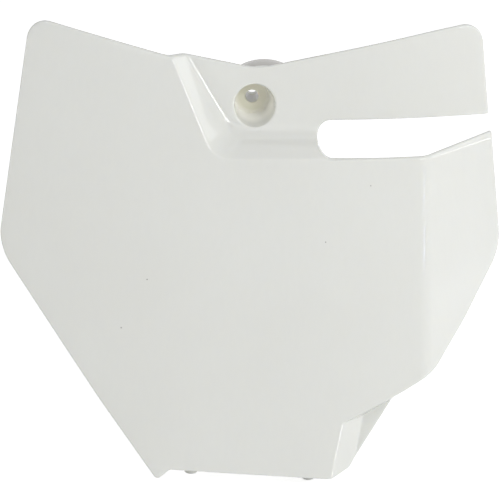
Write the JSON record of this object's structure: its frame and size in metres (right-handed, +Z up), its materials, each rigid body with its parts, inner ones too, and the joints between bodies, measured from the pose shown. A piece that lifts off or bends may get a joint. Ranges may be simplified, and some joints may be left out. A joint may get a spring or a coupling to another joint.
{
  "type": "motorcycle front number plate",
  "caption": "Moulded plastic front number plate for an off-road motorcycle, with a sunk screw cup, an open hose slot, a swept wing and two lower pegs.",
  "frame": {"origin": "on the axis of the top screw, on the face inside the cup that the screw head seats on", "axes": "+Y back towards the fork along the screw, +Z up, +X to the right as the plate is seen from the front"},
  "size_m": [0.2667, 0.1163, 0.2301],
  "materials": {
    "white_plastic": "glossy"
  },
  "bodies": {
    "root": {"number_plate": "white_plastic"}
  },
  "joints": []
}
